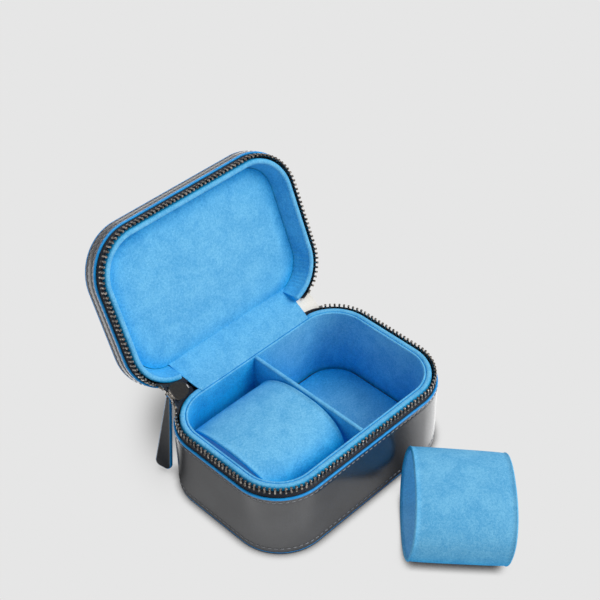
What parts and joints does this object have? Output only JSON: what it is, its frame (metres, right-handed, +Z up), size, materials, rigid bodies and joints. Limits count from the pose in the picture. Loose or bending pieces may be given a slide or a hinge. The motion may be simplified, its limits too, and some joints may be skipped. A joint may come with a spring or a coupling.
{
  "type": "watch travel case",
  "caption": "Rounded leather zip case, open: suede-lined tray with a divider, padded lid on a soft hinge, zip slider with a leather pull, and oval suede watch cuffs.",
  "frame": {"origin": "middle of the base underside, on the table", "axes": "+X along the hinge to the right, +Y towards the hinge at the back, +Z up"},
  "size_m": [0.13, 0.2207, 0.1292],
  "materials": {
    "leather": "smooth calf leather, low sheen",
    "edge_paint": "painted leather edge, satin",
    "board": "dark board",
    "foam": "soft wadding",
    "suede": "fine microfibre suede",
    "cuff_lining": "fine microfibre suede",
    "zip_tape": "woven tape",
    "zip_metal": "dark plated brass, polished",
    "cream_tab": "coated tape"
  },
  "bodies": {
    "base": {"base_bottom_leather": "leather", "base_bottom_edge_paint": "edge_paint", "base_wall_leather": "leather", "base_rim_edge_paint": "edge_paint", "base_stiffener": "board", "base_zip_tape": "zip_tape", "base_zip_teeth": "zip_metal", "base_zip_stop": "zip_metal", "base_lip_foam": "foam", "base_lip_suede": "suede", "tray_wall": "suede", "tray_floor": "board", "tray_divider": "suede", "left_floor_pad": "suede", "right_floor_pad": "suede", "hinge_spine": "leather", "hinge_strip": "suede", "zip_end_tab": "cream_tab", "zip_bend_tape": "zip_tape", "zip_bend_teeth": "zip_metal"},
    "lid": {"lid_top_leather": "leather", "lid_top_edge_paint": "edge_paint", "lid_wall_leather": "leather", "lid_rim_edge_paint": "edge_paint", "lid_stiffener": "board", "lid_zip_tape": "zip_tape", "lid_zip_teeth": "zip_metal", "lid_zip_stop": "zip_metal", "lid_lip_foam": "foam", "lid_lip_suede": "suede", "lid_wall_lining": "suede", "lid_padded_panel": "suede"},
    "slider": {"slider_body": "zip_metal", "slider_bridge": "zip_metal"},
    "link": {"pull_link": "zip_metal"},
    "tab": {"pull_tab": "leather", "pull_tab_edge_paint": "edge_paint"},
    "well_cuff": {"well_cuff_cover": "suede", "well_cuff_core": "board", "well_cuff_lining": "cuff_lining"},
    "loose_cuff": {"loose_cuff_cover": "suede", "loose_cuff_core": "board", "loose_cuff_lining": "cuff_lining"}
  },
  "joints": [
    {"name": "lid_hinge", "type": "hinge", "parent": "base", "child": "lid", "pos_m": [0, 0.0463, 0.0456], "axis": [1, 0, 0], "range_deg": [0, 112.6], "deforming": ["hinge_spine", "hinge_strip", "zip_end_tab", "zip_bend_tape", "zip_bend_teeth"]},
    {"name": "slider_tilt", "type": "hinge", "parent": "base", "child": "slider", "pos_m": [0, 0.0463, 0.0456], "axis": [1, 0, 0], "range_deg": [0, 56.3]},
    {"name": "pull_swing", "type": "hinge", "parent": "slider", "child": "link", "pos_m": [-0.04882, 0.04505, 0.04748], "axis": [0, 0.832, 0.5548], "range_deg": [-10, 60]},
    {"name": "tab_turn", "type": "hinge", "parent": "link", "child": "tab", "pos_m": [-0.05056, 0.0482, 0.04274], "axis": [0.9563, 0.1622, -0.2432], "range_deg": [0, 36]},
    {"name": "well_cuff_lift", "type": "slide", "parent": "base", "child": "well_cuff", "axis": [0, 0, 1], "range_m": [0, 0.01]},
    {"name": "loose_cuff_lift", "type": "slide", "parent": "base", "child": "loose_cuff", "axis": [0, 0, 1], "range_m": [0, 0.06]}
  ],
  "couplings": [
    {"joint": "slider_tilt", "follows": "lid_hinge", "ratio": 0.5}
  ]
}
